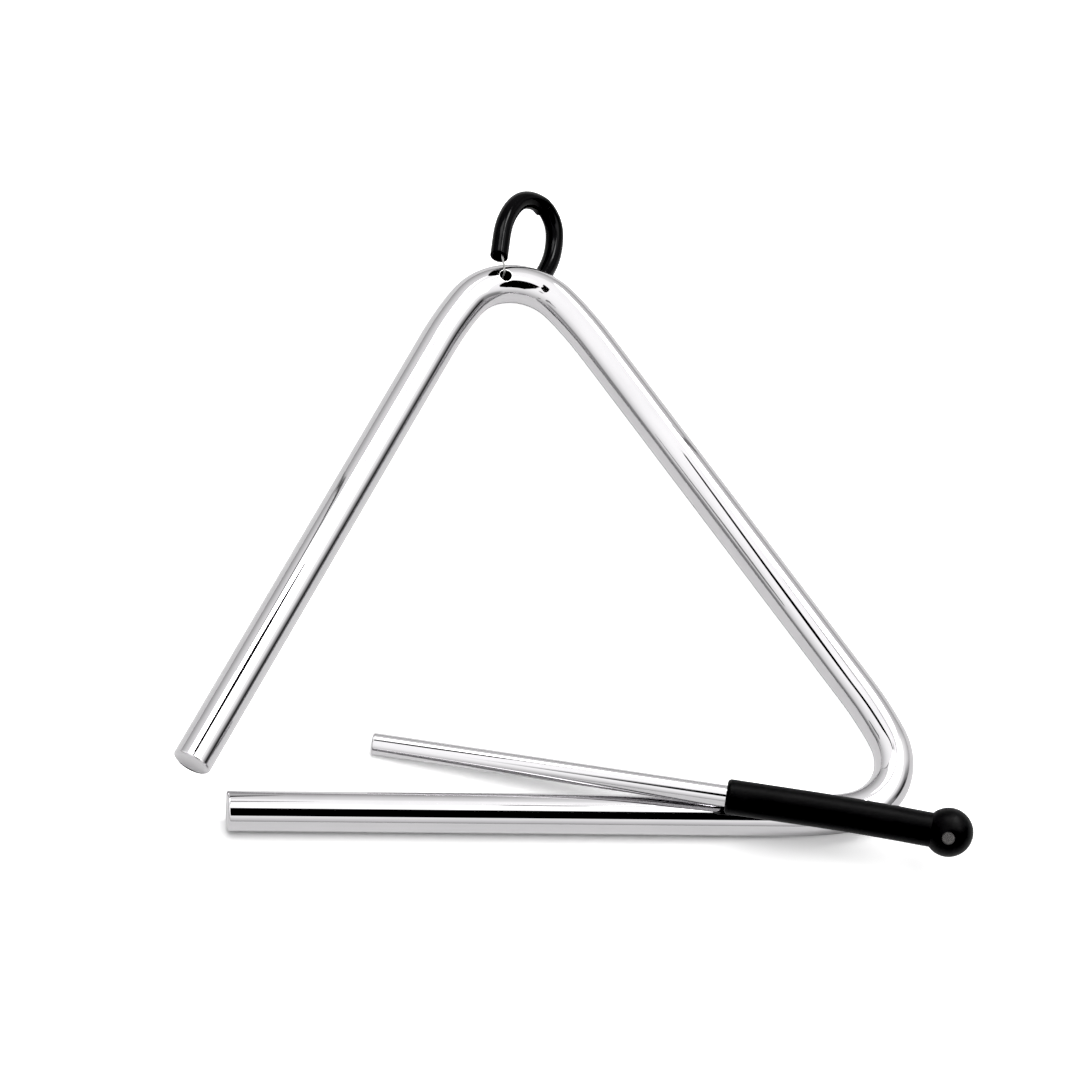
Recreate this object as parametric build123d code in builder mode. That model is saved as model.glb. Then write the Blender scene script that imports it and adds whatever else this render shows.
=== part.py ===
from build123d import *
import os
from math import asin, cos, degrees, radians, sin

# A triangle, lying on a table, with its hanger loop and its beater.
# +X runs along the lower bar, +Y towards the top bend, +Z up from the table.

# ---------------------------------------------------------------- dimensions
# millimetres and degrees

# origin of the part: middle of its outline on the table, measured in the
# triangle's own plane from a point by the free end of the lower bar
origin_u = 93.73
origin_v = 89.40

# bent rod
rod_dia = 11.0
bar_len = 156.0              # straight part of the lower bar
closed_leg = 127.1           # straight part of the right leg
open_leg = 156.45            # straight part of the left leg
bar_end = -0.35              # free end of the lower bar, on its centreline
corner_r = 17.6              # bend at the closed corner, on the rod's centreline
corner_ease_r = 103.5        # gentle lead-in of that bend
corner_ease = 9.11
top_r = 17.33                # bend at the top
top_ease_r = 122.7
top_ease = 7.98
corner_turn = 120.0          # equal angles, so each bend turns the rod by 120
bar_cut, leg_cut = 5.5, 11.0 # both free ends are cut a little under square
rod_end_round = 0.8

# hole across the top bend, for the hanger's line
hole_u, hole_v = 89.6, 170.2
hole_dia = 3.4
hole_rim = 0.2
top_lift = 1.25              # the top bend lies on the line that passes under it

# hanger: a tube threaded on a line
tube_dia, tube_bore = 5.15, 3.2
line_dia = 0.6
knot_dia = 2.3
tube_start = (87.325, 174.018, 8.923)     # front end, in the triangle's plane
loop_across = (0.7500, -0.1803, -0.6363)  # the loop leans over to the right
loop_normal = (0.6187, -0.1487, 0.7714)
tube_heading = 93.4
tube_run = [                               # (length, 0) or (radius, turn)
    (7.05, 0.0),
    (22.8, -34.6),
    (22.8, -1.4),                          # the knot sits in this stretch
    (12.2, -55.6),
    (6.9, -77.2),
    (22.2, -33.0),
    (4.5, 0.0),
]

# beater
beater_tip = (41.48, 22.67, -2.76)         # end of the rod's axis, in the triangle's plane
beater_ball = (194.51, -14.27, 18.57)      # centre of the ball
stick_dia = 6.0
stick_round = 0.6
stick_in_grip = 46.0
grip_front = 97.55                         # from the tip to the grip's front face
grip_front_dia = 9.7
grip_neck_dia = 9.45
grip_round = 1.1
ball_dia = 13.5
droop = 0.91                               # how far the handle's end hangs below the rod's axis
droop_from, droop_to = 118.0, 153.0
gate_dia = 3.6                             # round mark left on the ball by moulding
gate_depth = 0.55
gate_dir = (-0.3052, -0.6505, 0.6955)

# ------------------------------------------------------------------- helpers
tilt = degrees(asin(top_lift / hole_v))
rod_r = rod_dia / 2
rod_plane = Plane(
    origin=(-origin_u, -origin_v, rod_r),
    x_dir=(1, 0, 0),
    z_dir=(0, -sin(radians(tilt)), cos(radians(tilt))),
)


def place(u, v, w=0.0):
    """A point of the triangle's own plane in the part's frame."""
    return rod_plane.from_local_coords((u, v, w))


def turn_to(x, y, z):
    """A direction of the triangle's own plane in the part's frame."""
    return (place(x, y, z) - place(0, 0, 0)).normalized()


def run_of(start, heading, steps):
    """Points of straight runs and tangent arcs: 2 for a run, 3 for an arc."""
    x, y = start
    a = radians(heading)
    legs = []
    for size, turn in steps:
        if turn == 0:
            end = (x + size * cos(a), y + size * sin(a))
            legs.append([(x, y), end])
        else:
            side = 1 if turn > 0 else -1
            cx, cy = x - side * size * sin(a), y + side * size * cos(a)

            def on_arc(t):
                b = a + radians(t)
                return (cx + side * size * sin(b), cy - side * size * cos(b))

            mid, end = on_arc(turn / 2), on_arc(turn)
            legs.append([(x, y), mid, end])
            a += radians(turn)
        x, y = end
    return legs


# ---------------------------------------------------------------- bent rod
over = 2.0                   # the rod is swept a little long, then its ends are cut
rod_run = run_of(
    (bar_end - over, 0),
    0,
    [
        (bar_len - bar_end + over, 0),
        (corner_ease_r, corner_ease),
        (corner_r, corner_turn - 2 * corner_ease),
        (corner_ease_r, corner_ease),
        (closed_leg, 0),
        (top_ease_r, top_ease),
        (top_r, corner_turn - 2 * top_ease),
        (top_ease_r, top_ease),
        (open_leg + over, 0),
    ],
)
leg_out = (cos(radians(2 * corner_turn)), sin(radians(2 * corner_turn)))
leg_end = tuple(p - over * d for p, d in zip(rod_run[-1][-1], leg_out))
free_ends = [((bar_end, 0), (-1, 0), bar_cut), (leg_end, leg_out, leg_cut)]
hole_plane = Plane(origin=place(hole_u, hole_v), z_dir=rod_plane.z_dir)

with BuildPart() as triangle_bar:
    with BuildLine(rod_plane) as rod_axis:
        for leg in rod_run:
            if len(leg) == 2:
                Line(*leg)
            else:
                ThreePointArc(*leg)
    rod_wire = rod_axis.wires()[0]
    seam = turn_to(0, cos(radians(30)), -sin(radians(30)))
    with BuildSketch(Plane(rod_wire @ 0, x_dir=seam, z_dir=rod_wire % 0)) as rod_section:
        Circle(rod_r)
    sweep(path=rod_wire)
    for end, out, cut in free_ends:
        flat, down = cos(radians(cut)), -sin(radians(cut))
        end_plane = Plane(origin=place(*end), z_dir=turn_to(out[0] * flat, out[1] * flat, down))
        with BuildSketch(end_plane) as end_cut:
            Circle(7)
        extrude(amount=6, mode=Mode.SUBTRACT)
    rod_ends = triangle_bar.faces().filter_by(GeomType.PLANE).edges()
    fillet(rod_ends, radius=rod_end_round)
    with BuildSketch(hole_plane) as hole_section:
        Circle(hole_dia / 2)
    extrude(amount=rod_dia, both=True, mode=Mode.SUBTRACT)
    near_hole = triangle_bar.edges().filter_by(
        lambda e: (e.center() - place(hole_u, hole_v)).length < rod_r + 1
    )
    rims = near_hole.filter_by(
        lambda e: e.geom_type != GeomType.LINE and e.length < 1.2 * 3.1416 * hole_dia
    )
    fillet(rims, radius=hole_rim)
triangle_bar.part.label = "triangle_bar"

# ------------------------------------------------------------------ hanger
tube_front = place(*tube_start)
loop_plane = Plane(
    origin=tube_front, x_dir=turn_to(*loop_across), z_dir=turn_to(*loop_normal)
)
tube_legs = run_of((0, 0), tube_heading, tube_run)

with BuildPart() as hanger_tube:
    with BuildLine(loop_plane) as tube_axis:
        for leg in tube_legs:
            if len(leg) == 2:
                Line(*leg)
            else:
                ThreePointArc(*leg)
    tube_wire = tube_axis.wires()[0]
    with BuildSketch(Plane(tube_wire @ 0, z_dir=tube_wire % 0)) as tube_section:
        Circle(tube_dia / 2)
        Circle(tube_bore / 2, mode=Mode.SUBTRACT)
    sweep(path=tube_wire)
hanger_tube.part.label = "hanger_tube"


def in_loop(point):
    return loop_plane.from_local_coords((point[0], point[1], 0))


# the line: from the knot along the tube to its rear end, under the top bend,
# up through the hole, into the tube's front end and back to the knot
rear_in, rear_end = in_loop(tube_legs[-1][0]), in_loop(tube_legs[-1][1])
rear_out = (rear_end - rear_in).normalized()
front_in, front_end = in_loop(tube_legs[0][1]), in_loop(tube_legs[0][0])
front_out = (front_end - front_in).normalized()
rear_turn = rear_end + rear_out * 0.55
# the line leaves the front bore along its right side
to_right = Vector(0.97985, -0.0861, 0.1802)
front_side = (to_right - front_out * to_right.dot(front_out)).normalized()
front_turn = front_end + front_out * 0.2 + front_side * 1.05
front_mid = front_end - front_out * 3.3
# it runs up the back of the hole, a little left of the middle
line_u, line_v = hole_u - 0.3, hole_v + 0.95
hole_foot = place(line_u, line_v, -rod_r)
hole_top = place(line_u, line_v, rod_r + 0.5)
line_low = 0.06 + line_dia / 2
under_hole = Vector(hole_foot.X, hole_foot.Y, line_low)
under_edge = under_hole + Vector(11.5, 2.95, 0.10)

with BuildPart() as hanger_line:
    with BuildLine() as line_axis:
        for leg in tube_legs[3:-1]:
            ThreePointArc(*[in_loop(p) for p in leg])
        FilletPolyline(
            rear_in,
            rear_turn,
            under_edge,
            under_hole,
            hole_top,
            front_turn,
            front_mid,
            front_in,
            radius=[1.2, 1.6, 1.25, 1.0, 1.0, 3.0],
        )
        ThreePointArc(*[in_loop(p) for p in tube_legs[1]])
    line_wire = line_axis.wires()[0]
    with BuildSketch(Plane(line_wire @ 0, z_dir=line_wire % 0)) as line_section:
        Circle(line_dia / 2)
    sweep(path=line_wire)
    with Locations(in_loop(tube_legs[2][1])):
        Sphere(knot_dia / 2)
hanger_line.part.label = "hanger_line"

# ------------------------------------------------------------------ beater
tip, ball = place(*beater_tip), place(*beater_ball)
sag = Vector(0, -droop, 0)
reach = (ball - sag - tip).length
along = (ball - sag - tip).normalized()
tip_plane = Plane(origin=tip, z_dir=along)

with BuildPart() as beater_rod:
    with BuildSketch(tip_plane) as stick_section:
        Circle(stick_dia / 2)
    extrude(amount=grip_front + stick_in_grip)
    stick_tip = beater_rod.faces().filter_by(GeomType.PLANE).sort_by(
        lambda f: (f.center() - tip).length
    )[0]
    fillet(stick_tip.edges(), radius=stick_round)
beater_rod.part.label = "beater_rod"

# the handle: round sections along an axis that droops towards the ball
ball_r = ball_dia / 2


def handle_section(at):
    """Plane across the handle and its radius, at a distance from the tip."""
    k = min(max((at - droop_from) / (droop_to - droop_from), 0.0), 1.0)
    lean = 2 * k / (droop_to - droop_from) if k < 1 else 0.0
    part_way = (at - grip_front) / (droop_to - grip_front)
    radius = (grip_front_dia + (grip_neck_dia - grip_front_dia) * part_way) / 2
    return Plane(origin=tip + along * at + sag * k**2, z_dir=along + sag * lean), radius


grip_plane = Plane(origin=tip, x_dir=along, z_dir=along.cross(Vector(0, 0, 1)))
with BuildPart() as beater_grip:
    # straight front stretch, local x along the beater and local y out from its axis
    with BuildSketch(grip_plane) as grip_half:
        Polygon(
            (grip_front, 0),
            (grip_front, grip_front_dia / 2),
            (droop_from, handle_section(droop_from)[1]),
            (droop_from, 0),
            align=None,
        )
    revolve(axis=Axis(origin=tip, direction=along))
    front_edge = beater_grip.edges().filter_by(GeomType.CIRCLE).filter_by(
        lambda e: abs(e.radius - grip_front_dia / 2) < 0.01
    )
    fillet(front_edge, radius=grip_round)
    for at in (droop_from, 125, 132, 139, 146, droop_to - 0.5):
        section_plane, section_r = handle_section(at)
        with BuildSketch(section_plane) as handle_round:
            Circle(section_r)
    loft()
    with Locations(ball):
        Sphere(ball_r)
    with BuildSketch(tip_plane) as bore_section:
        Circle(stick_dia / 2)
    extrude(amount=grip_front + stick_in_grip, mode=Mode.SUBTRACT)
    gate_out = turn_to(*gate_dir)
    gate_out = (gate_out - along * gate_out.dot(along)).normalized()
    with BuildSketch(Plane(origin=ball + gate_out * (ball_r + 0.5), z_dir=gate_out)) as gate:
        Circle(gate_dia / 2)
    extrude(amount=-(0.5 + gate_depth), mode=Mode.SUBTRACT)
beater_grip.part.label = "beater_grip"

# ------------------------------------------------------------------- export
os.makedirs("parts", exist_ok=True)
pieces = [triangle_bar, hanger_tube, hanger_line, beater_rod, beater_grip]
for piece in pieces:
    export_step(piece.part, "parts/" + piece.part.label + ".step")

low = [min(getattr(p.part.bounding_box().min, a) for p in pieces) for a in "XYZ"]
high = [max(getattr(p.part.bounding_box().max, a) for p in pieces) for a in "XYZ"]
print("box", [round(v, 3) for v in low], [round(v, 3) for v in high])
print("hinge", place(hole_u, hole_v), rod_plane.z_dir, "tilt", round(tilt, 4))
print("tube length", round(tube_wire.length, 2), "line length", round(line_wire.length, 2))
print("line volume", round(hanger_line.part.volume, 2), "of", round(line_wire.length * 3.14159 * line_dia**2 / 4, 2))
print("gaps", [round(a.part.distance_to(b.part), 3) for a, b in ((hanger_tube, triangle_bar), (hanger_line, triangle_bar), (hanger_line, hanger_tube), (beater_rod, triangle_bar))])
print("low", [round(p.part.bounding_box().min.Z, 3) for p in pieces])
print("beater", round(reach + ball_r, 2), "open leg end", leg_end)
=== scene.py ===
from math import asin, atan2, cos, pi, radians, sin, sqrt, tan

import bpy
import numpy as np
from mathutils import Matrix, Vector
from mathutils.geometry import delaunay_2d_cdt


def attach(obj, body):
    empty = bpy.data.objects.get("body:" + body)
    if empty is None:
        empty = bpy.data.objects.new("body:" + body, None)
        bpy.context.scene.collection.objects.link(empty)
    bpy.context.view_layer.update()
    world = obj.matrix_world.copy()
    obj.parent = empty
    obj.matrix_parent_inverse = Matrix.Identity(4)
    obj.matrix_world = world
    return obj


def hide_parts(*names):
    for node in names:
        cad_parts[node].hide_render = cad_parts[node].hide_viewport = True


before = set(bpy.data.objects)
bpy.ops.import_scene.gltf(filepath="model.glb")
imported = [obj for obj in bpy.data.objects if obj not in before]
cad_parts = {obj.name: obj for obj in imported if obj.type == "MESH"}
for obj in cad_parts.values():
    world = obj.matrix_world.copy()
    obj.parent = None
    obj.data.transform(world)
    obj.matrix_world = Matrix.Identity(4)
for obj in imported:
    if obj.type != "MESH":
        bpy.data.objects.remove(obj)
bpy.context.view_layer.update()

# ------------------------------------------------------------------ dimensions
# millimetres and degrees, in the triangle's own plane: u along the lower bar
# from a point by its free end, v towards the top bend, w out of the plane
ORIGIN_U, ORIGIN_V = 93.73, 89.40
ROD_R = 5.5
END_ROUND = 0.8
BAR_END = -0.35                 # free end of the lower bar
BAR_CUT, LEG_CUT = 5.5, 11.0    # both free ends are cut a little under square
EASE = 1.5                      # how softly each bend starts and stops
ROD_STEPS = [
    (156.452, 0.0),
    (103.5, 9.11), (17.4698, 101.78), (103.5, 9.11),
    (127.3073, 0.0),
    (122.7, 7.98), (17.1983, 104.04), (122.7, 7.98),
    (156.555, 0.0),
]
HOLE = np.array([89.6, 170.2])
HOLE_R, HOLE_RIM = 1.7, 0.2
TILT = asin(1.25 / 170.2)

TUBE_R, BORE_R = 2.575, 1.6
TUBE_START = (87.325, 174.018, 8.923)
LOOP_ACROSS = (0.7500, -0.1803, -0.6363)
LOOP_NORMAL = (0.6187, -0.1487, 0.7714)
TUBE_HEADING = 93.4
TUBE_STEPS = [
    (7.05, 0.0), (22.8, -34.6), (22.8, -1.4), (12.2, -55.6),
    (6.9, -77.2), (22.2, -33.0), (4.5, 0.0),
]
KINK_AT = 33.85                 # along the tube from its front end

BEATER_TIP = (41.48, 22.67, -2.76)
BEATER_BALL = (194.51, -14.27, 18.57)
STICK_R, STICK_ROUND, STICK_IN = 3.0, 0.6, 46.0
GRIP_FRONT, GRIP_FRONT_R, GRIP_NECK_R, GRIP_ROUND = 97.55, 4.85, 4.725, 1.1
DROOP, DROOP_FROM, DROOP_TO = 0.91, 118.0, 153.0   # the handle's end hangs below the rod's axis
BALL_R = 6.75
GATE_R, GATE_DEPTH = 1.8, 0.55
GATE_DIR = (-0.3052, -0.6505, 0.6955)

# --------------------------------------------------------------------- helpers


def unit(v):
    v = np.asarray(v, float)
    return v / np.linalg.norm(v)


def turned(p):
    """A direction of the triangle's plane in the part's frame."""
    p = np.asarray(p, float)
    c, s = cos(TILT), sin(TILT)
    return np.stack(
        [p[..., 0], p[..., 1] * c - p[..., 2] * s, p[..., 1] * s + p[..., 2] * c], -1
    )


def placed(p):
    """A point of the triangle's plane in the part's frame, in millimetres."""
    return turned(p) + np.array([-ORIGIN_U, -ORIGIN_V, ROD_R])


def eased_path(heading, steps, sigma, ds=0.02):
    """A path of straight runs and arcs whose curvature changes softly: s, x, y, heading."""
    lengths = [a if t == 0 else a * abs(radians(t)) for a, t in steps]
    total = sum(lengths)
    n = int(round(total / ds))
    h = total / n
    s = np.arange(n + 1) * h
    turn = np.zeros(n + 1)
    at = 0.0
    for (_, t), length in zip(steps, lengths):
        turn += radians(t) * np.clip((s - at) / length, 0, 1)
        at += length
    k = np.diff(turn) / h
    if sigma > 0:
        m = int(5 * sigma / h)
        x = np.arange(-m, m + 1) * h
        g = np.exp(-0.5 * (x / sigma) ** 2)
        k = np.convolve(k, g / g.sum(), "same")
    a = radians(heading) + np.concatenate([[0], np.cumsum(k) * h])
    mid = (a[1:] + a[:-1]) / 2
    x = np.concatenate([[0], np.cumsum(np.cos(mid)) * h])
    y = np.concatenate([[0], np.cumsum(np.sin(mid)) * h])
    return s, x, y, a


class Shape:
    """Vertices with their normals and a coordinate for the finish, and faces."""

    def __init__(self):
        self.p, self.n, self.c, self.f = [], [], [], []
        self.inset = {}              # 1 on the rim, painted light as a highlight, 2 on the hole's wall, painted dark as shade

    def add(self, points, normals, coords):
        first = len(self.p)
        self.p.extend(np.asarray(points, float))
        self.n.extend(np.asarray(normals, float))
        self.c.extend(np.asarray(coords, float))
        return list(range(first, len(self.p)))

    def join(self, a, b):
        n = len(a)
        for i in range(n):
            j = (i + 1) % n
            self.f.append((a[i], a[j], b[j], b[i]))

    def fan(self, centre, ring, facing_back):
        n = len(ring)
        for i in range(n):
            j = (i + 1) % n
            self.f.append((centre, ring[j], ring[i]) if facing_back else (centre, ring[i], ring[j]))

    def drop_unused(self):
        used = sorted({i for f in self.f for i in f})
        new = {old: i for i, old in enumerate(used)}
        self.p = [self.p[i] for i in used]
        self.n = [self.n[i] for i in used]
        self.c = [self.c[i] for i in used]
        self.inset = {new[i]: v for i, v in self.inset.items() if i in new}
        self.f = [tuple(new[i] for i in f) for f in self.f]

    def make(self, name, own_normals=True):
        self.drop_unused()
        mesh = bpy.data.meshes.new(name)
        mesh.from_pydata([tuple(p / 1000.0) for p in self.p], [], self.f)
        mesh.update()
        mesh.polygons.foreach_set("use_smooth", [True] * len(mesh.polygons))
        at = mesh.attributes.new("finish_at", "FLOAT_VECTOR", "POINT")
        at.data.foreach_set("vector", (np.array(self.c) / 1000.0).astype(np.float32).ravel())
        if self.inset:
            at = mesh.attributes.new("inset", "FLOAT", "POINT")
            at.data.foreach_set("value", [self.inset.get(i, 0.0) for i in range(len(self.p))])
        if own_normals:
            mesh.normals_split_custom_set_from_vertices(
                [tuple(unit(n)) for n in self.n]
            )
        obj = bpy.data.objects.new(name, mesh)
        bpy.context.scene.collection.objects.link(obj)
        return obj


def inside(poly, q):
    """Which points of q are inside a closed outline."""
    x, y = q[:, 0], q[:, 1]
    hit = np.zeros(len(q), bool)
    for (x0, y0), (x1, y1) in zip(poly, np.roll(poly, -1, 0)):
        cross = (y0 > y) != (y1 > y)
        with np.errstate(divide="ignore", invalid="ignore"):
            hit ^= cross & (x < (x1 - x0) * (y - y0) / (y1 - y0) + x0)
    return hit


def open_patch(shape, gone):
    """Takes out the faces that touch the vertices in gone, and gives the loop they leave."""
    gone = set(gone)
    kept, cut = [], []
    for f in shape.f:
        (cut if any(i in gone for i in f) else kept).append(f)
    shape.f = kept
    half = set()
    for f in cut:
        for a, b in zip(f, f[1:] + f[:1]):
            half.add((a, b))
    after = {a: b for a, b in half if (b, a) not in half}
    start = next(iter(after))
    loop = [start]
    while after[loop[-1]] != start:
        loop.append(after[loop[-1]])
    return loop


def fill_patch(shape, loop, ring, flat):
    """Triangles between an outer loop and an inner ring, by their flat coordinates, facing up there."""
    ids = list(loop) + list(ring)
    q = np.array([flat[i] for i in ids])
    nl, nr = len(loop), len(ring)
    edges = [(i, (i + 1) % nl) for i in range(nl)]
    edges += [(nl + i, nl + (i + 1) % nr) for i in range(nr)]
    out = delaunay_2d_cdt([Vector((float(a), float(b))) for a, b in q], edges, [], 0, 1e-7)
    verts, faces, source = out[0], out[2], out[3]
    for f in faces:
        mid = np.mean([[verts[i].x, verts[i].y] for i in f], 0)[None]
        if inside(q[:nl], mid)[0] and not inside(q[nl:], mid)[0]:
            t = [ids[source[i][0]] for i in f]
            a, b, c = (np.array(flat[i]) for i in t)
            if (b[0] - a[0]) * (c[1] - a[1]) - (b[1] - a[1]) * (c[0] - a[0]) < 0:
                t.reverse()
            shape.f.append(tuple(t))


# ------------------------------------------------------------------- bent rod
def bent_rod():
    s, x, y, a = eased_path(0.0, ROD_STEPS, EASE)
    x = x + BAR_END
    total = s[-1]
    length = lambda step: step[0] if step[1] == 0 else step[0] * radians(step[1])
    ends = np.cumsum([0] + [length(st) for st in ROD_STEPS])
    crest = (ends[6] + ends[7]) / 2

    stops = [END_ROUND]
    while stops[-1] < total - END_ROUND - 1e-6:
        at = stops[-1]
        curved = ends[1] - 8 < at < ends[4] + 8 or ends[5] - 8 < at < ends[8] + 8
        near_hole = abs(at - crest) < 6.5
        stops.append(at + (0.30 if near_hole else 0.55 if curved else 2.2))
    stops[-1] = total - END_ROUND
    around = np.linspace(0, 2 * pi, 144, endpoint=False) - pi / 2
    ca, sa = np.cos(around), np.sin(around)
    shape = Shape()
    plane = []                   # u, v, w of every vertex

    def ring(at, radius, lift, lean, cut=0.0):
        """One ring: at along the rod, with normals that lean by lift along and lean out."""
        cx, cy, h = np.interp(at, s, x), np.interp(at, s, y), np.interp(at, s, a)
        side, ahead = np.array([-sin(h), cos(h), 0]), np.array([cos(h), sin(h), 0])
        out = ca[:, None] * side + sa[:, None] * np.array([0, 0, 1.0])
        shift = cut * radius * sa
        uvw = np.array([cx, cy, 0]) + radius * out + shift[:, None] * ahead
        plane.extend(uvw)
        coords = np.stack([at + shift, radius * ca, radius * sa], 1)
        normals = lean * out + lift * ahead - cut * lift * np.array([0, 0, 1.0])
        return shape.add(placed(uvw), turned(normals), coords)

    def cap(end, back, angle):
        """The rounded end of the rod, from the middle of its face outwards."""
        way = 1 if back else -1
        cut = -way * tan(radians(angle))
        h = np.interp(end, s, a)
        mid = np.array([[np.interp(end, s, x), np.interp(end, s, y), 0]])
        plane.extend(mid)
        tip = shape.add(placed(mid), turned([[-way * cos(h), -way * sin(h), cut * way]]), [[end, 0, 0]])[0]
        face = ROD_R - END_ROUND
        rings = [ring(end, face * k, -way, 0.0, cut) for k in (0.25, 0.5, 0.75, 0.93, 1.0)]
        for t in np.linspace(0, pi / 2, 13)[1:]:
            rings.append(
                ring(end + way * END_ROUND * (1 - cos(t)), face + END_ROUND * sin(t), -way * cos(t), sin(t), cut)
            )
        return tip, rings

    tip, first = cap(0.0, True, BAR_CUT)
    body = [first[-1]] + [ring(at, ROD_R, 0.0, 1.0) for at in stops[1:-1]]
    tail, last = cap(total, False, LEG_CUT)
    chain = first + body[1:] + last[::-1]
    shape.fan(tip, chain[0], True)
    for r0, r1 in zip(chain, chain[1:]):
        shape.join(r0, r1)
    shape.fan(tail, chain[-1], False)

    # the hole across the top bend, with eased rims
    h = np.interp(crest, s, a)
    bend_r = ROD_STEPS[6][0]
    bend = np.array([np.interp(crest, s, x) - bend_r * sin(h), np.interp(crest, s, y) + bend_r * cos(h)])

    def surface(uv):
        """Height of the rod's upper side over the plane, and its normal."""
        arm = uv - bend
        far = np.linalg.norm(arm, axis=-1)
        off = far - bend_r
        w = np.sqrt(np.maximum(ROD_R**2 - off**2, 1e-9))
        n = np.concatenate([arm / far[..., None] * off[..., None], w[..., None]], -1) / ROD_R
        return w, n

    phi = np.linspace(0, 2 * pi, 96, endpoint=False)
    ray = np.stack([np.cos(phi), np.sin(phi)], 1)
    grid = np.array(plane)
    edge = HOLE_R + HOLE_RIM

    reach = np.full(len(phi), edge)
    for _ in range(6):
        w, n = surface(HOLE + reach[:, None] * ray)
        lean = np.stack([(n[:, :2] * ray).sum(1), n[:, 2]], 1)
        lean /= np.linalg.norm(lean, axis=1)[:, None]
        reach = edge + HOLE_RIM * lean[:, 0]
    w, n = surface(HOLE + reach[:, None] * ray)
    centre_w = w - HOLE_RIM * lean[:, 1]

    def hole_ring(uv, wv, nv, sign):
        uvw = np.concatenate([uv, (sign * wv)[:, None]], 1)
        nn = nv.copy()
        nn[:, 2] *= sign
        far = np.linalg.norm(uv - bend, axis=1) - bend_r
        turn_at = np.arctan2(*(uv - bend).T[::-1]) - atan2(*(HOLE - bend)[::-1])
        coords = np.stack([crest + turn_at * bend_r, -far, sign * wv], 1)
        plane.extend(uvw)
        return shape.add(placed(uvw), turned(nn), coords)

    half = {}
    for sign in (1, -1):
        near = np.linalg.norm(grid[:, :2] - HOLE, axis=1)
        gone = np.where((near < 3.5) & (sign * grid[:, 2] > 0))[0]
        loop = open_patch(shape, gone)
        rings = []
        for k in np.linspace(1, 0, 7):
            d = reach + k * (2.95 - reach)
            uv = HOLE + d[:, None] * ray
            wv, nv = surface(uv)
            rings.append(hole_ring(uv, wv, nv, sign))
        start = np.arctan2(lean[:, 1], lean[:, 0])
        for k in np.linspace(0, 1, 11)[1:]:
            ang = start + k * (pi - start)
            uv = HOLE + (edge + HOLE_RIM * np.cos(ang))[:, None] * ray
            nv = np.concatenate([np.cos(ang)[:, None] * ray, np.sin(ang)[:, None]], 1)
            rings.append(hole_ring(uv, centre_w + HOLE_RIM * np.sin(ang), nv, sign))
            # the rim's vertices, which the chrome paints light: a painted highlight
            shape.inset.update((i, 1.0) for i in rings[-1])
        flat = {i: (plane[i][0], sign * plane[i][1]) for i in loop + rings[0]}
        fill_patch(shape, loop, rings[0], flat)
        for r0, r1 in zip(rings, rings[1:]):
            if sign > 0:
                shape.join(r0, r1)
            else:
                shape.join(r1, r0)
        half[sign] = rings[-1]
    walls = [half[1]]
    uv = HOLE + HOLE_R * ray
    nv = np.concatenate([-ray, np.zeros((len(ray), 1))], 1)
    for k in (0.97, 0.93, 0.75, 0.5, 0.25, 0, -0.25, -0.5, -0.75, -0.93, -0.97):
        walls.append(hole_ring(uv, k * centre_w, nv, 1))
        # the wall's vertices, which the chrome paints dark: painted shade
        shape.inset.update((i, 2.0) for i in walls[-1])
    walls.append(half[-1])
    for r0, r1 in zip(walls, walls[1:]):
        shape.join(r0, r1)
    return shape.make("bent_rod")


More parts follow.
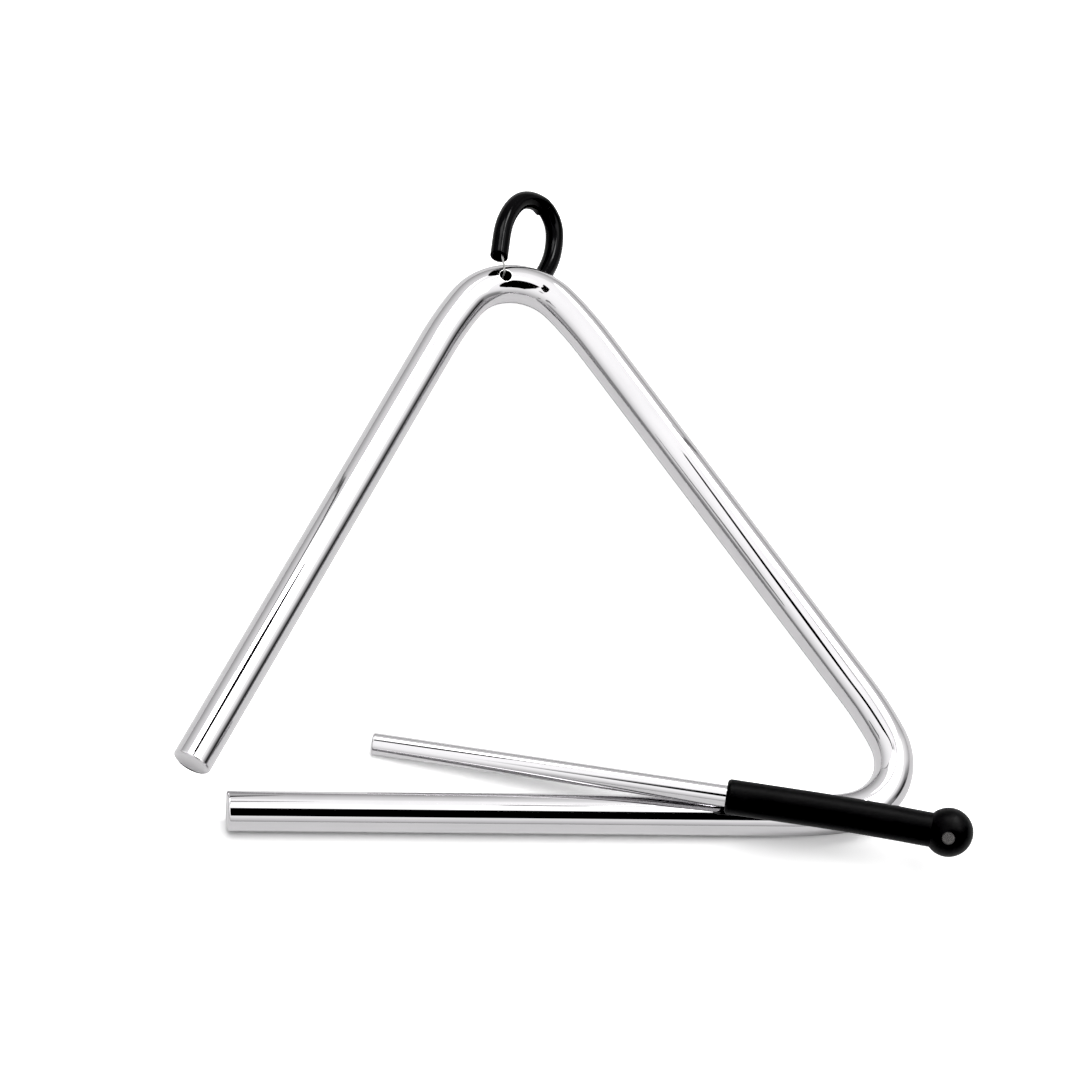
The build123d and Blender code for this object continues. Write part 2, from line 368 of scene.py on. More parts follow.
# ----------------------------------------------------------------- hanger tube
def hanger_tube():
    s, x, y, a = eased_path(TUBE_HEADING, TUBE_STEPS, 1.2)
    total = s[-1]
    origin = placed(TUBE_START)
    across, normal = unit(turned(LOOP_ACROSS)), unit(turned(LOOP_NORMAL))
    along = np.cross(normal, across)
    angles = np.linspace(0, 2 * pi, 72, endpoint=False)
    shape = Shape()

    def section(at, radius):
        """Points of one section, in (out from the loop's middle, along its normal)."""
        n, z = radius * np.cos(angles), radius * np.sin(angles)
        inner = np.clip(-np.cos(angles), 0, 1) ** 1.2
        outer = np.clip(np.cos(angles), 0, 1) ** 2
        d = at - KINK_AT
        share = 1.0 if radius > 2 else 0.55
        # the wall folds at the kink: a lip on one side of it, a dent on the other
        before = 0.5 * (1 - np.tanh(d / 0.22))
        after = 1 - before
        n = n + share * inner * (
            -0.55 * before * np.exp(-((d / 1.8) ** 2)) + 0.85 * after * np.exp(-((d / 2.6) ** 2))
        )
        n = n - share * outer * (
            0.50 * after * np.exp(-((d / 1.8) ** 2)) + 0.05 * before * np.exp(-((d / 1.5) ** 2))
        )
        z = z * (1 + share * 0.10 * np.exp(-((d / 2.0) ** 2)))
        # slightly uneven wall
        n = n + 0.03 * np.sin(0.33 * at + 0.4) * np.cos(2 * angles)
        return n, z

    def ring(at, radius, slant=0.0):
        n, z = section(at, radius)
        shift = slant * n
        here = np.clip(at, 0, total)
        cx, cy, h = np.interp(here, s, x), np.interp(here, s, y), np.interp(here, s, a)
        side, ahead = np.array([-sin(h), cos(h)]), np.array([cos(h), sin(h)])
        q = np.array([cx, cy]) + n[:, None] * side + shift[:, None] * ahead
        p = origin + q[:, :1] * across + q[:, 1:] * along + z[:, None] * normal
        coords = np.stack([np.full(len(n), at), n, z], 1)
        return shape.add(p, np.zeros_like(p), coords)

    stops = np.arange(0.25, total - 0.25, 0.30)
    fold = np.arange(KINK_AT - 1.5, KINK_AT + 1.5, 0.06)
    stops = stops[np.abs(stops - KINK_AT) > 1.65]
    stops = np.unique(np.concatenate([stops, fold, [total - 0.18]]))
    bevel = 0.16

    def slope(at):
        return 0.14 * np.exp(-at / 1.6) - 0.02 * np.exp(-(total - at) / 1.6)

    rings = []
    for at in stops:
        rings.append(ring(at, TUBE_R, slope(at)))
    for t in np.linspace(0, pi / 2, 5)[1:]:
        rings.append(ring(total - bevel + bevel * sin(t) , TUBE_R - bevel * (1 - cos(t)), slope(total)))
    for k in (0.66, 0.33):
        rings.append(ring(total, BORE_R + k * (TUBE_R - BORE_R) - 0.02, slope(total)))
    for t in np.linspace(pi / 2, 0, 5)[:-1]:
        rings.append(ring(total - 0.1 + 0.1 * sin(t), BORE_R + 0.1 * (1 - cos(t)), slope(total)))
    for at in stops[::-1]:
        rings.append(ring(at, BORE_R, slope(at)))
    for t in np.linspace(0, pi / 2, 5)[1:]:
        rings.append(ring(0.1 - 0.1 * sin(t), BORE_R + 0.1 * (1 - cos(t)), slope(0)))
    for k in (0.33, 0.66):
        rings.append(ring(0.0, BORE_R + k * (TUBE_R - BORE_R) - 0.02, slope(0)))
    for t in np.linspace(pi / 2, 0, 5)[:-1]:
        rings.append(ring(bevel - bevel * sin(t), TUBE_R - bevel * (1 - cos(t)), slope(0)))
    for r0, r1 in zip(rings, rings[1:] + rings[:1]):
        shape.join(r0, r1)
    return shape.make("loop_tube", own_normals=False)


# ---------------------------------------------------------------------- beater
TIP, BALL = placed(BEATER_TIP), placed(BEATER_BALL)
SAG = np.array([0.0, -DROOP, 0.0])
REACH = float(np.linalg.norm(BALL - SAG - TIP))
ALONG = unit(BALL - SAG - TIP)
GATE = turned(GATE_DIR)
GATE = unit(GATE - ALONG * (GATE @ ALONG))
SIDE = np.cross(ALONG, GATE)


def lathe(shape, profile, count, straight=None):
    """Rings about the beater's axis from (along, radius, slope along, slope out).

    After the first so many straight ones they follow the drooping handle."""
    t = np.linspace(0, 2 * pi, count, endpoint=False) + pi
    out = np.cos(t)[:, None] * GATE + np.sin(t)[:, None] * SIDE
    rings = []
    for i, (at, radius, n_at, n_out) in enumerate(profile):
        low = 0.0 if straight is None or i < straight else np.clip((at - DROOP_FROM) / (DROOP_TO - DROOP_FROM), 0, 1) ** 2
        coords = np.stack([np.full(count, at), radius * np.cos(t), radius * np.sin(t)], 1)
        rings.append(
            shape.add(TIP + at * ALONG + low * SAG + radius * out, n_at * ALONG + n_out * out, coords)
        )
    for r0, r1 in zip(rings, rings[1:]):
        shape.join(r0, r1)
    return rings


def pole(shape, at, ring, back, low=0.0):
    way = -1.0 if back else 1.0
    tip = shape.add([TIP + at * ALONG + low * SAG], [way * ALONG], [[at, 0, 0]])[0]
    shape.fan(tip, ring, back)


def beater_stick():
    shape = Shape()
    end = GRIP_FRONT + STICK_IN
    flat = STICK_R - STICK_ROUND
    profile = [(0.0, flat * k, -1.0, 0.0) for k in (0.3, 0.6, 0.9, 1.0)]
    for t in np.linspace(0, pi / 2, 13)[1:]:
        profile.append((STICK_ROUND * (1 - cos(t)), flat + STICK_ROUND * sin(t), -cos(t), sin(t)))
    profile += [(at, STICK_R, 0.0, 1.0) for at in np.linspace(STICK_ROUND, end - 0.3, 66)[1:]]
    for t in np.linspace(0, pi / 2, 5)[1:]:
        profile.append((end - 0.3 + 0.3 * sin(t), STICK_R - 0.3 * (1 - cos(t)), sin(t), cos(t)))
    profile += [(end, STICK_R * k, 1.0, 0.0) for k in (0.6, 0.3)]
    rings = lathe(shape, profile, 96)
    pole(shape, 0.0, rings[0], True)
    pole(shape, end, rings[-1], False)
    return shape.make("beater_stick")


def beater_handle():
    shape = Shape()
    end = GRIP_FRONT + STICK_IN
    lip = 0.18
    taper = (GRIP_NECK_R - GRIP_FRONT_R) / (REACH - 4.0 - GRIP_FRONT)
    lean = atan2(-taper, 1.0)
    crease = 0.22                # round at the foot of the ball

    profile = [(end, STICK_R * k, -1.0, 0.0) for k in (0.3, 0.7)]
    profile += [(end, STICK_R - 0.02, -0.7, -0.7)]
    profile += [(at, STICK_R, 0.0, -1.0) for at in np.linspace(end - 0.1, GRIP_FRONT + lip, 12)]
    for t in np.linspace(0, pi / 2, 5)[1:]:
        profile.append((GRIP_FRONT + lip - lip * sin(t), STICK_R + lip * (1 - cos(t)), -sin(t), -cos(t)))
    bored = len(profile)
    face = GRIP_FRONT_R - GRIP_ROUND
    profile += [(GRIP_FRONT, k, -1.0, 0.0) for k in (0.5 * (STICK_R + lip + face), face)]
    for t in np.linspace(0, pi / 2 - lean, 13)[1:]:
        profile.append((GRIP_FRONT + GRIP_ROUND * (1 - cos(t)), face + GRIP_ROUND * sin(t), -cos(t), sin(t)))
    # where a small round fits between the tapering handle and the ball
    radius_at = lambda at: GRIP_FRONT_R + taper * (at - GRIP_FRONT)
    lo, hi = REACH - BALL_R, REACH
    for _ in range(60):
        mid = (lo + hi) / 2
        out = radius_at(mid) + crease / cos(lean)
        lo, hi = (mid, hi) if np.hypot(mid - REACH, out) > BALL_R + crease else (lo, mid)
    foot = np.array([lo, radius_at(lo) + crease / cos(lean)])
    stop = foot[0] - crease * sin(lean)
    for at in np.linspace(profile[-1][0], stop, 40)[1:]:
        profile.append((at, radius_at(at), sin(lean), cos(lean)))
    to_ball = unit(np.array([REACH, 0.0]) - foot)
    a0, a1 = -pi / 2 - lean, atan2(to_ball[1], to_ball[0])
    a0 = -pi / 2 + lean * 0 - lean
    for k in np.linspace(0, 1, 7)[1:]:
        t = a0 + k * (a1 - a0)
        profile.append((foot[0] + crease * cos(t), foot[1] + crease * sin(t), -cos(t), -sin(t)))
    t0 = atan2(profile[-1][1], profile[-1][0] - REACH)
    for t in np.linspace(t0, 0.03, 76)[1:]:
        profile.append((REACH + BALL_R * cos(t), BALL_R * sin(t), cos(t), sin(t)))
    rings = lathe(shape, profile, 160, bored)
    pole(shape, end, rings[0], True)
    pole(shape, REACH + BALL_R, rings[-1], False, 1.0)

    # the round mark that moulding left on the ball: a shallow sunk disc
    p = np.array(shape.p)
    rel = p - BALL
    flat_a, flat_b = rel @ ALONG, rel @ SIDE
    near = np.hypot(flat_a, flat_b)
    on_ball = np.abs(np.linalg.norm(rel, axis=1) - BALL_R) < 1e-6
    gone = np.where((near < 2.35) & (rel @ GATE > 0) & on_ball)[0]
    loop = open_patch(shape, gone)
    phi = np.linspace(0, 2 * pi, 84, endpoint=False)
    ray = np.cos(phi)[:, None] * ALONG + np.sin(phi)[:, None] * SIDE
    # ALONG, SIDE and GATE: SIDE = ALONG x ... so the ring runs the same way as the loop
    def mark(radius, depth_from_top, n_ray, n_up):
        q = BALL + radius * ray + depth_from_top * GATE
        n = n_ray * ray + n_up * GATE
        coords = np.stack([np.full(len(phi), REACH) + radius * np.cos(phi),
                           np.full(len(phi), depth_from_top), radius * np.sin(phi)], 1)
        return shape.add(q, n, coords)

    rings = []
    for d in (2.1, 2.0, GATE_R + 0.10):
        up = sqrt(BALL_R**2 - d**2)
        rings.append(mark(d, up, d / BALL_R, up / BALL_R))
    top = sqrt(BALL_R**2 - (GATE_R + 0.10) ** 2)
    floor = sqrt(BALL_R**2 - GATE_R**2) - 0.34
    for t in np.linspace(0, pi / 2, 6)[1:]:
        rings.append(mark(GATE_R + 0.10 - 0.10 * sin(t), top - 0.10 * (1 - cos(t)), -sin(t) * 0.9, cos(t)))
    rings.append(mark(GATE_R - 0.005, floor + 0.12, -1.0, 0.0))
    for t in np.linspace(0, pi / 2, 6)[1:]:
        rings.append(mark(GATE_R - 0.12 * (1 - cos(t)), floor + 0.12 - 0.12 * sin(t), -cos(t), sin(t)))
    # fine turning rings and a small raised stub
    for d in np.linspace(GATE_R - 0.16, 0.06, 30):
        wave = 0.035 * sin(2 * pi * d / 0.42) + 0.05 * np.exp(-((d - 0.62) / 0.16) ** 2)
        slope = 0.035 * 2 * pi / 0.42 * cos(2 * pi * d / 0.42) + 0.05 * np.exp(-((d - 0.62) / 0.16) ** 2) * (-2 * (d - 0.62) / 0.16**2)
        rings.append(mark(d, floor + wave, -slope, 1.0))
    middle = shape.add([BALL + floor * GATE], [GATE], [[REACH, floor, 0]])[0]
    flat = {}
    for i in loop + rings[0]:
        r = shape.p[i] - BALL
        flat[i] = (float(r @ SIDE), float(r @ ALONG))
    sense = np.dot(np.cross(SIDE, ALONG), GATE)
    if sense < 0:
        flat = {i: (b, a) for i, (a, b) in flat.items()}
    fill_patch(shape, loop, rings[0], flat)
    ahead = np.dot(np.cross(ALONG, SIDE), GATE) > 0
    for r0, r1 in zip(rings, rings[1:]):
        shape.join(r0, r1) if ahead else shape.join(r1, r0)
    shape.fan(middle, rings[-1], not ahead)
    return shape.make("beater_handle")


# ------------------------------------------------------------------- materials
def fresh(name):
    mat = bpy.data.materials.new(name)
    mat.use_nodes = True
    tree = mat.node_tree
    tree.nodes.clear()
    out = tree.nodes.new("ShaderNodeOutputMaterial")
    body = tree.nodes.new("ShaderNodeBsdfPrincipled")
    tree.links.new(body.outputs["BSDF"], out.inputs["Surface"])
    return mat, tree, body


class Nodes:
    """Short names for the nodes that the finishes are made of."""

    def __init__(self, tree):
        self.tree = tree

    def link(self, a, b):
        self.tree.links.new(a, b)

    def node(self, kind, **values):
        n = self.tree.nodes.new(kind)
        for k, v in values.items():
            setattr(n, k, v)
        return n

    def place(self):
        n = self.node("ShaderNodeAttribute", attribute_name="finish_at")
        return n.outputs["Vector"]

    def object_place(self):
        return self.node("ShaderNodeTexCoord").outputs["Object"]

    def stretch(self, vec, scale):
        n = self.node("ShaderNodeMapping")
        n.inputs["Scale"].default_value = scale
        self.link(vec, n.inputs["Vector"])
        return n.outputs["Vector"]

    def noise(self, vec, scale, detail=3.0, rough=0.5):
        n = self.node("ShaderNodeTexNoise")
        n.inputs["Scale"].default_value = scale
        n.inputs["Detail"].default_value = detail
        n.inputs["Roughness"].default_value = rough
        self.link(vec, n.inputs["Vector"])
        return n.outputs["Fac"]

    def span(self, value, a, b, lo, hi, smooth=False):
        n = self.node("ShaderNodeMapRange")
        n.clamp = True
        if smooth:
            n.interpolation_type = "SMOOTHSTEP"
        for key, v in zip(("From Min", "From Max", "To Min", "To Max"), (a, b, lo, hi)):
            n.inputs[key].default_value = v
        self.link(value, n.inputs["Value"])
        return n.outputs["Result"]

    def math(self, op, a, b=None):
        n = self.node("ShaderNodeMath", operation=op)
        for i, v in enumerate((a, b)):
            if v is None:
                continue
            if isinstance(v, (int, float)):
                n.inputs[i].default_value = v
            else:
                self.link(v, n.inputs[i])
        return n.outputs["Value"]

    def ramp(self, value, stops):
        n = self.node("ShaderNodeValToRGB")
        el = n.color_ramp.elements
        while len(el) < len(stops):
            el.new(0.5)
        for e, (at, col) in zip(el, stops):
            e.position = at
            e.color = (*col, 1.0)
        self.link(value, n.inputs["Fac"])
        return n.outputs["Color"]

    def bump(self, height, strength, distance, after=None):
        n = self.node("ShaderNodeBump")
        n.inputs["Strength"].default_value = strength
        n.inputs["Distance"].default_value = distance
        self.link(height, n.inputs["Height"])
        if after is not None:
            self.link(after, n.inputs["Normal"])
        return n.outputs["Normal"]


def chrome(name, drilled=False):
    """Plated and polished steel: faint lengthwise polishing marks, slight waves, a few dull specks; when drilled, a
    painted highlight on the hole's rim and painted shade on its wall.
    """
    mat, tree, body = fresh(name)
    k = Nodes(tree)
    at = k.place()
    lines = k.noise(k.stretch(at, (14.0, 1500.0, 1500.0)), 1.0, 3.0, 0.6)
    waves = k.noise(k.stretch(at, (42.0, 110.0, 110.0)), 1.0, 1.0, 0.4)
    haze = k.noise(k.stretch(at, (60.0, 160.0, 160.0)), 1.0, 4.0, 0.62)
    specks = k.noise(at, 900.0, 2.0, 0.5)
    tint = k.ramp(haze, [(0.30, (0.529, 0.521, 0.533)), (0.70, (0.564, 0.555, 0.566))])
    dull = k.math("ADD", k.span(lines, 0.40, 0.72, 0.018, 0.040), k.span(haze, 0.52, 0.75, 0.0, 0.03))
    dull = k.math("ADD", dull, k.span(specks, 0.74, 0.80, 0.0, 0.12))
    if drilled:
        # the hole's rim is painted light as a highlight, and its wall is painted dark as shade
        depth = k.node("ShaderNodeAttribute", attribute_name="inset").outputs["Fac"]
        rim, wall = k.span(depth, 0.1, 0.7, 0.0, 1.0), k.span(depth, 1.15, 1.8, 0.0, 1.0)
        rim_painted_highlight = k.ramp(specks, [(0.30, (0.80, 0.80, 0.80)), (0.70, (0.92, 0.92, 0.92))])
        wall_painted_shade = k.ramp(specks, [(0.30, (0.012, 0.012, 0.013)), (0.70, (0.030, 0.029, 0.030))])
        for mask, colour in ((rim, rim_painted_highlight), (wall, wall_painted_shade)):
            mix = k.node("ShaderNodeMix", data_type="RGBA")
            k.link(mask, mix.inputs[0])
            k.link(tint, mix.inputs[6])
            k.link(colour, mix.inputs[7])
            tint = mix.outputs[2]
        dull = k.math("ADD", dull, k.math("MULTIPLY", rim, 0.38))
    k.link(tint, body.inputs["Base Color"])
    body.inputs["Metallic"].default_value = 1.0
    k.link(dull, body.inputs["Roughness"])
    n = k.bump(waves, 1.0, 0.000020)
    n = k.bump(lines, 1.0, 0.0000004, n)
    k.link(n, body.inputs["Normal"])
    return mat


def tube_vinyl():
    """Glossy black tube: drawn-out streaks along it, dusty specks."""
    mat, tree, body = fresh("glossy_black_tube")
    k = Nodes(tree)
    at = k.place()
    drawn = k.noise(k.stretch(at, (60.0, 900.0, 900.0)), 1.0, 4.0, 0.6)
    dust = k.noise(at, 2600.0, 3.0, 0.6)
    soft = k.noise(at, 170.0, 2.0, 0.5)
    col = k.ramp(soft, [(0.30, (0.0010, 0.0010, 0.0012)), (0.70, (0.0022, 0.0021, 0.0025))])
    k.link(col, body.inputs["Base Color"])
    rough = k.math("ADD", k.span(drawn, 0.30, 0.75, 0.08, 0.14), k.span(dust, 0.62, 0.80, 0.0, 0.10))
    k.link(rough, body.inputs["Roughness"])
    body.inputs["Specular IOR Level"].default_value = 0.07
    n = k.bump(soft, 1.0, 0.00006)
    n = k.bump(drawn, 1.0, 0.000012, n)
    n = k.bump(dust, 0.6, 0.000006, n)
    k.link(n, body.inputs["Normal"])
    return mat


def line_nylon():
    """Clear nylon line, whitish inside, with faint drawn streaks."""
    mat, tree, body = fresh("clear_nylon_line")
    k = Nodes(tree)
    at = k.object_place()
    grain = k.noise(at, 1400.0, 3.0, 0.6)
    col = k.ramp(grain, [(0.30, (0.40, 0.40, 0.39)), (0.70, (0.52, 0.52, 0.51))])
    k.link(col, body.inputs["Base Color"])
    k.link(k.span(grain, 0.3, 0.7, 0.12, 0.30), body.inputs["Roughness"])
    body.inputs["IOR"].default_value = 1.53
    body.inputs["Transmission Weight"].default_value = 0.25
    k.link(k.bump(grain, 0.5, 0.00002), body.inputs["Normal"])
    return mat


def grip_plastic():
    """Satin black moulded handle: fine moulded grain, light scuffs, a dull grey gate mark."""
    mat, tree, body = fresh("satin_black_grip")
    k = Nodes(tree)
    at = k.place()
    grain = k.noise(at, 3200.0, 3.0, 0.62)
    flow = k.noise(k.stretch(at, (45.0, 420.0, 420.0)), 1.0, 4.0, 0.6)
    scuff = k.noise(k.stretch(at, (700.0, 160.0, 160.0)), 1.0, 3.0, 0.7)
    soft = k.noise(at, 120.0, 2.0, 0.5)

    # the gate mark: a disc about the point where it sits on the ball
    split = k.node("ShaderNodeSeparateXYZ")
    k.link(at, split.inputs["Vector"])
    dx = k.math("SUBTRACT", split.outputs["X"], REACH / 1000.0)
    d2 = k.math("ADD", k.math("MULTIPLY", dx, dx), k.math("MULTIPLY", split.outputs["Z"], split.outputs["Z"]))
    away = k.math("SQRT", d2)
    on_top = k.span(split.outputs["Y"], 0.0040, 0.0050, 0.0, 1.0)
    mark = k.math("MULTIPLY", k.span(away, 0.00165, 0.00182, 1.0, 0.0), on_top)
    rings = k.math("SINE", k.math("MULTIPLY", away, 2 * pi / 0.00042))
    fleck = k.noise(at, 4200.0, 4.0, 0.7)

    base = k.ramp(soft, [(0.30, (0.0010, 0.0010, 0.0011)), (0.70, (0.0024, 0.0023, 0.0025))])
    grey = k.ramp(
        k.math("ADD", fleck, k.math("MULTIPLY", rings, 0.06)),
        [(0.36, (0.026, 0.025, 0.025)), (0.66, (0.165, 0.159, 0.156))],
    )
    mix = k.node("ShaderNodeMix", data_type="RGBA")
    k.link(mark, mix.inputs[0])
    k.link(base, mix.inputs[6])
    k.link(grey, mix.inputs[7])
    k.link(mix.outputs[2], body.inputs["Base Color"])
    rough = k.math("ADD", k.span(grain, 0.30, 0.75, 0.33, 0.47), k.span(scuff, 0.58, 0.78, 0.0, 0.10))
    rough = k.math("ADD", rough, k.math("MULTIPLY", mark, 0.25))
    k.link(rough, body.inputs["Roughness"])
    body.inputs["Specular IOR Level"].default_value = 0.06
    n = k.bump(soft, 1.0, 0.00005)
    n = k.bump(flow, 1.0, 0.000010, n)
    n = k.bump(grain, 0.8, 0.000010, n)
    n = k.bump(k.math("MULTIPLY", fleck, mark), 1.0, 0.00012, n)
    k.link(n, body.inputs["Normal"])
    return mat


def plain_sheet(name, low, high):
    """Matt sheet of one tone, very slightly mottled."""
    mat, tree, body = fresh(name)
    k = Nodes(tree)
    fine = k.noise(k.object_place(), 60.0, 3.0, 0.5)
    k.link(k.ramp(fine, [(0.30, (low,) * 3), (0.70, (high,) * 3)]), body.inputs["Base Color"])
    body.inputs["Roughness"].default_value = 0.9
    body.inputs["Specular IOR Level"].default_value = 0.0
    return mat


# ---------------------------------------------------------------------- pieces
def dress(obj, mat):
    obj.data.materials.clear()
    obj.data.materials.append(mat)


rod_piece = bent_rod()
dress(rod_piece, chrome("chrome_plated_rod", True))
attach(rod_piece, "triangle")
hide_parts("triangle_bar")

tube_piece = hanger_tube()
dress(tube_piece, tube_vinyl())
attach(tube_piece, "hanger")
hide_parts("hanger_tube")

line_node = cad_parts["hanger_line"]
nylon = line_nylon()
for s_ in line_node.material_slots:
    s_.material = nylon

stick_piece = beater_stick()
dress(stick_piece, chrome("chrome_plated_stick"))
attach(stick_piece, "beater")
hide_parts("beater_rod")

handle_piece = beater_handle()
dress(handle_piece, grip_plastic())
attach(handle_piece, "beater")
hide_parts("beater_grip")

# ----------------------------------------------------------------------- floor
def stage_mesh(name, points, faces, mat):
    mesh = bpy.data.meshes.new(name)
    mesh.from_pydata(points, [], faces)
    obj = bpy.data.objects.new(name, mesh)
    bpy.context.scene.collection.objects.link(obj)
    dress(obj, mat)
    return obj


def only_in_gloss(obj):
    """Seen only where something shiny mirrors it."""
    obj.visible_camera = obj.visible_diffuse = False
    obj.visible_transmission = obj.visible_shadow = False


def disc(name, z, mat):
    around = np.linspace(0, 2 * pi, 96, endpoint=False)
    return stage_mesh(name, [(7 * cos(t), 7 * sin(t), z) for t in around], [tuple(range(96))], mat)


def lit_floor():
    """The pale sheet, made to glow as painted light that washes out the floor's shadows, except in front of the
    lower bar and along the beater.
    """
    mat = plain_sheet("pale_floor", 0.925, 0.935)
    k = Nodes(mat.node_tree)
    at = k.node("ShaderNodeSeparateXYZ")
    k.link(k.object_place(), at.inputs["Vector"])
    # where the glow is kept off so that the shadows of the lower bar, the handle and the stick show; towards the
    # ball and along the stick part of it stays
    front = k.math("MULTIPLY", k.span(at.outputs["Y"], -0.090, -0.086, 1.0, 0.0, True),
                   k.span(at.outputs["X"], 0.050, 0.095, 1.0, 0.55, True))
    middle = k.math("MULTIPLY", k.span(at.outputs["X"], -0.080, -0.070, 0.0, 1.0, True),
                    k.span(at.outputs["X"], 0.035, 0.055, 1.0, 0.0, True))
    middle = k.math("MULTIPLY", middle, k.span(at.outputs["Y"], -0.062, -0.052, 0.80, 0.0, True))
    body = next(n for n in mat.node_tree.nodes if n.type == "BSDF_PRINCIPLED")
    body.inputs["Emission Color"].default_value = (1.0, 1.0, 1.0, 1.0)
    # the glow: painted light that turns the floor white even in the shadows of the legs and the hanger
    k.link(k.span(k.math("MAXIMUM", front, middle), 0.0, 1.0, 0.9, 0.0), body.inputs["Emission Strength"])
    return mat


disc("floor", -0.00004, lit_floor())
# a greyer copy of the floor that only the shiny pieces mirror: a painted reflection, darker than the floor the
# camera sees
only_in_gloss(disc("floor_in_chrome", -0.00002, plain_sheet("pale_floor_in_chrome", 0.80, 0.81)))


# ---------------------------------------------------------------- studio light
def towards(az, el):
    """Azimuth from +Y towards +X, elevation above the table."""
    a, e = radians(az), radians(el)
    return np.array([sin(a) * cos(e), cos(a) * cos(e), sin(e)])


world = bpy.data.worlds.new("light_tent")
bpy.context.scene.world = world
world.use_nodes = True
wt = world.node_tree
wt.nodes.clear()
w = Nodes(wt)
sky = w.node("ShaderNodeTexCoord").outputs["Generated"]


def facing(direction):
    n = w.node("ShaderNodeVectorMath", operation="DOT_PRODUCT")
    w.link(sky, n.inputs[0])
    n.inputs[1].default_value = tuple(float(v) for v in direction)
    return n.outputs["Value"]


def panel(corners, soft):
    """1 inside a panel with straight edges, given by its corners in order, 0 outside."""
    pts = [towards(*c) for c in corners]
    mid = unit(sum(pts))
    least = None
    for p, q in zip(pts, pts[1:] + pts[:1]):
        n = unit(np.cross(p, q))
        n = n if n @ mid > 0 else -n
        d = facing(n)
        least = d if least is None else w.math("MINIMUM", least, d)
    e = sin(radians(soft))
    return w.span(least, -e, e, 0.0, 1.0, True)


def spot(az, el, radius, soft):
    d = facing(towards(az, el))
    return w.span(d, cos(radians(radius + soft)), cos(radians(max(radius - soft, 0.1))), 0.0, 1.0, True)


def shade(level, mask, keep):
    """Brings the light down to keep times its level inside a mask."""
    return w.math("MULTIPLY", level, w.span(mask, 0.0, 1.0, 1.0, keep))


def glow(level, mask, more):
    return w.math("ADD", level, w.math("MULTIPLY", mask, more))


up = facing((0, 0, 1))
height = w.math("MULTIPLY", w.math("ADD", up, 1.0), 0.5)
levels = [(-90, 1.03), (-14, 1.03), (-6, 0.92), (1, 0.82), (8, 0.94), (18, 1.24), (30, 1.58), (44, 1.86), (90, 2.00)]
level = w.ramp(height, [((sin(radians(e)) + 1) / 2, (v / 2,) * 3) for e, v in levels])
grey = w.node("ShaderNodeSeparateColor")
w.link(level, grey.inputs["Color"])
level = w.math("MULTIPLY", grey.outputs["Red"], 2.0)

# the far side of the tent is greyer than its flanks
level = shade(level, panel([(-34, -8), (-32, 38), (52, 38), (54, -8)], 3.5), 0.80)
# dim sides to the right and left, low down
level = shade(level, panel([(72, -12), (74, 24), (114, 24), (140, 17), (144, -12)], 7.0), 0.42)
level = shade(level, panel([(84, 3), (84, 14), (103, 16), (103, 3)], 4.0), 0.10)
# dark foot of the near side
level = shade(level, panel([(140, -8), (140, 4), (-164, 4), (-164, -8)], 3.0), 0.70)
level = shade(level, panel([(-118, -8), (-118, 10), (-80, 10), (-80, -8)], 6.0), 0.42)
# clips of the tent
level = shade(level, spot(99, 57, 3.2, 2.5), 0.25)
level = shade(level, spot(-16, 60, 3.0, 2.5), 0.5)
level = shade(level, spot(-138, 50, 2.6, 2.2), 0.35)
# the opening that the picture is taken through
level = shade(
    level,
    panel([(-151.5, 56), (-148, 63), (-135, 74), (131, 73), (127, 52), (134, 41), (148, 35.5), (166, 34), (-174, 33.5), (-164, 43)], 1.0),
    0.004,
)

# a soft box nearly straight above lights the floor, and the lamps behind the cloth
# show only in the shiny pieces
seen = w.node("ShaderNodeLightPath")
gloss = seen.outputs["Is Glossy Ray"]
lamps = w.math("MULTIPLY", panel([(28, 36), (27, 60), (40, 60), (42, 36)], 2.0), 26.0)
lamps = glow(lamps, panel([(-30, 42), (-26, 58), (8, 60), (6, 44)], 2.0), 9.0)
lamps = glow(lamps, panel([(52, 40), (48, 83), (112, 83), (106, 40)], 5.0), 3.6)
overhead = w.math("MULTIPLY", spot(-158, 84, 23, 3.0), w.span(gloss, 0.0, 1.0, 7.0, 0.0))
level = w.math("MULTIPLY", level, w.span(gloss, 0.0, 1.0, 0.26, 1.0))
level = w.math("ADD", level, overhead)
level = w.math("ADD", level, w.math("MULTIPLY", lamps, gloss))

light = w.node("ShaderNodeBackground")
w.link(level, light.inputs["Strength"])
plain = w.node("ShaderNodeBackground")
plain.inputs["Color"].default_value = (1, 1, 1, 1)
plain.inputs["Strength"].default_value = 1.0
pick = w.node("ShaderNodeMixShader")
w.link(seen.outputs["Is Camera Ray"], pick.inputs["Fac"])
w.link(light.outputs["Background"], pick.inputs[1])
w.link(plain.outputs["Background"], pick.inputs[2])
world_out = w.node("ShaderNodeOutputWorld")
w.link(pick.outputs["Shader"], world_out.inputs["Surface"])
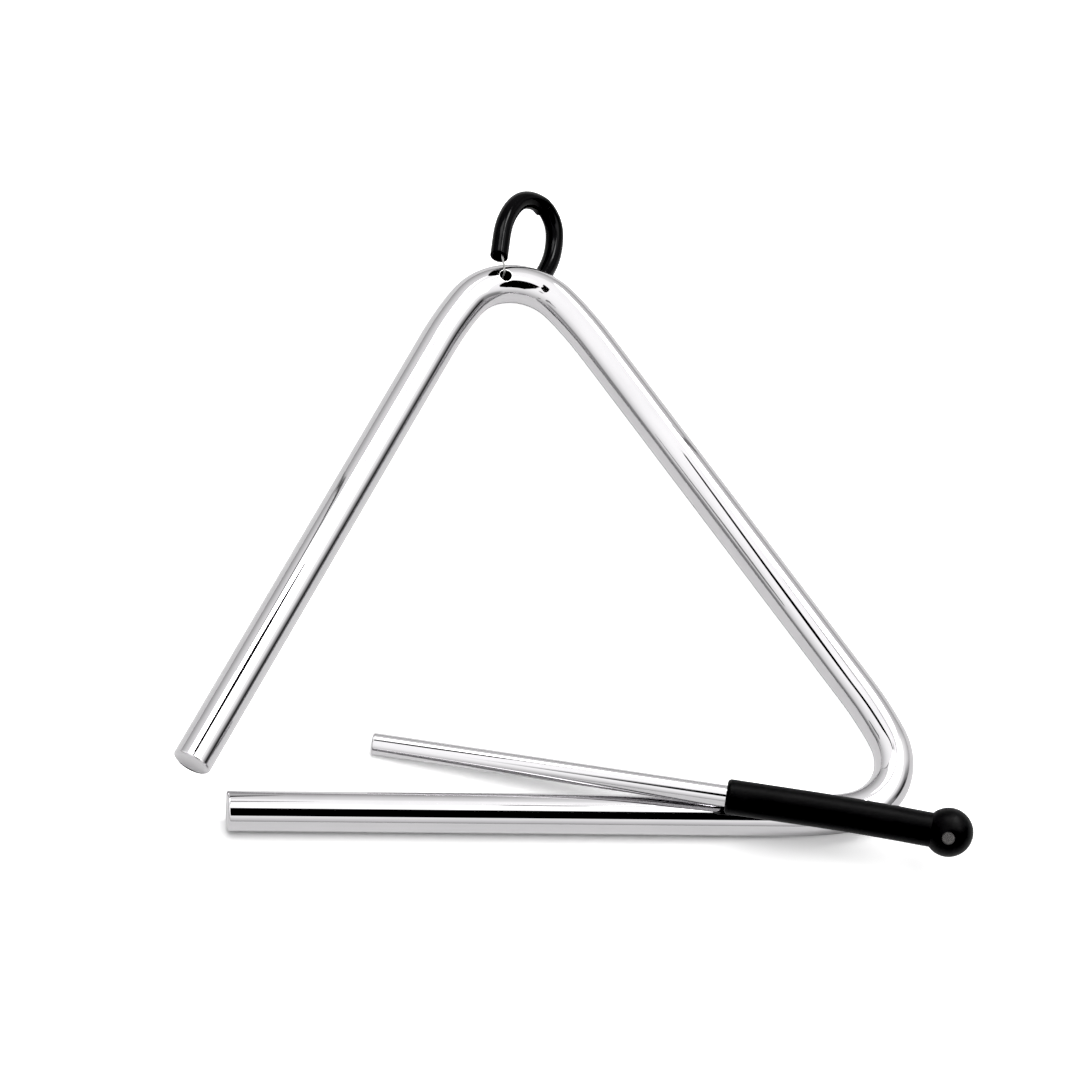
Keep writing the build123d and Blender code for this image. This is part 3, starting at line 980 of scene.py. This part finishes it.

# strips that only the shiny pieces mirror, put there as painted reflections of the dark and grey lines along the
# chrome: pairs of edge points, mm
REFLECTION_STRIPS = [
    ("painted_reflection_right_black", 0.008, [
        ((-152, -57, 335), (-91, -23, 369)), ((-148, -46, 340), (-84, -10, 374)),
        ((-143, -22, 352), (-61, 25, 386)), ((-118, 20, 368), (-48, 61, 390)),
        ((-78, 72, 385), (-16, 108, 393)), ((-33, 127, 391), (7, 150, 390))]),
    ("painted_reflection_right_grey", 0.26, [
        ((105, 187, 670), (145, 210, 658)), ((168, 257, 642), (210, 281, 623)),
        ((228, 324, 603), (272, 349, 573)), ((273, 384, 559), (313, 407, 523)),
        ((300, 427, 522), (332, 446, 488))]),
    ("painted_reflection_right_hook", 0.26, [
        ((489, 539, 175), (507, 550, 14)), ((435, 513, 326), (475, 536, 219)),
        ((378, 485, 422), (423, 511, 346)), ((313, 455, 498), (355, 479, 448)),
        ((270, 439, 535), (301, 457, 505))]),
    ("painted_reflection_right_thin", 0.62, [
        ((230, 406, 571), (255, 421, 552)), ((196, 412, 585), (223, 428, 566)),
        ((167, 421, 595), (201, 441, 572))]),
    ("painted_reflection_right_low", 0.3, [
        ((-237, -13, 130), (-233, -11, 139)), ((-233, -31, 119), (-225, -26, 141)),
        ((-223, -51, 119), (-207, -41, 157)), ((-219, -72, 102), (-202, -62, 147)),
        ((-210, -82, 111), (-202, -77, 134))]),
    ("painted_reflection_left_mid", 0.02, [
        ((-64.0, -0.2, 37.2), (-66.1, 0.9, 36.9)), ((-67.6, -9.1, 37.4), (-71.6, -6.7, 36.7)),
        ((-72.3, -20.8, 37.6), (-79.1, -17.1, 36.4)), ((-78.0, -32.3, 37.7), (-85.5, -27.9, 36.4)),
        ((-83.4, -41.8, 37.6), (-90.5, -37.8, 36.5)), ((-89.1, -51.3, 37.5), (-95.1, -47.8, 36.7)),
        ((-95.4, -62.2, 37.4), (-100.7, -59.2, 36.9)), ((-95.3, -62.3, 37.4), (-100.5, -59.3, 36.9))]),
    ("painted_reflection_left_hook", 0.09, [
        ((-384, 624, 107), (-390, 629, -18)), ((-346, 592, 267), (-382, 614, 148)),
        ((-265, 537, 415), (-315, 567, 340)), ((-248, 518, 441), (-287, 541, 392)),
        ((-242, 496, 460), (-275, 516, 422)), ((-234, 461, 485), (-262, 477, 457)),
        ((-230, 426, 506), (-250, 438, 487))]),
    ("painted_reflection_left_thin", 0.62, [
        ((-113, 548, 507), (-142, 565, 484)), ((-153, 525, 498), (-179, 540, 475)),
        ((-204, 504, 480), (-232, 520, 452))]),
    ("painted_reflection_bar_dash", 0.26, [
        ((115, 130, 662), (115, 112, 667)), ((125, 148, 655), (125, 89, 674)),
        ((138, 148, 654), (138, 98, 670)), ((149, 139, 657), (149, 121, 663))]),
]
for name, tone, pairs in REFLECTION_STRIPS:
    points = [tuple(v / 1000.0 for v in p) for pair in pairs for p in pair]
    strips = [(2 * i, 2 * i + 1, 2 * i + 3, 2 * i + 2) for i in range(len(pairs) - 1)]
    only_in_gloss(stage_mesh(name, points, strips, plain_sheet(name + "_reflection_strip", tone * 0.90, tone * 0.94)))

# ---------------------------------------------------------------------- camera
cam_data = bpy.data.cameras.new("camera")
cam = bpy.data.objects.new("camera", cam_data)
bpy.context.scene.collection.objects.link(cam)
cam_data.sensor_width = 36.0
cam_data.lens = 216.1272
cam_data.clip_start, cam_data.clip_end = 0.05, 50.0
right = Vector((0.979853775, -0.086098816, 0.180204253))
upward = Vector((-0.017715326, 0.861274949, 0.507830315))
away = Vector((0.198928997, 0.500791829, -0.842398242))
pose = Matrix.Identity(4)
for i in range(3):
    pose[i][0], pose[i][1], pose[i][2] = right[i], upward[i], -away[i]
pose[0][3], pose[1][3], pose[2][3] = -0.360094969, -0.908495128, 1.529055191
cam.matrix_world = pose
bpy.context.scene.camera = cam

view = bpy.context.scene.view_settings
view.view_transform = "Standard"
view.look = "None"
view.exposure = 0.0
view.gamma = 1.0
view.use_curve_mapping = True
view.curve_mapping.black_level = (0.008, 0.008, 0.008)
view.curve_mapping.white_level = (0.90, 0.90, 0.90)
view.curve_mapping.update()

# ------------------------------------------------------------------------ update
bpy.context.view_layer.update()
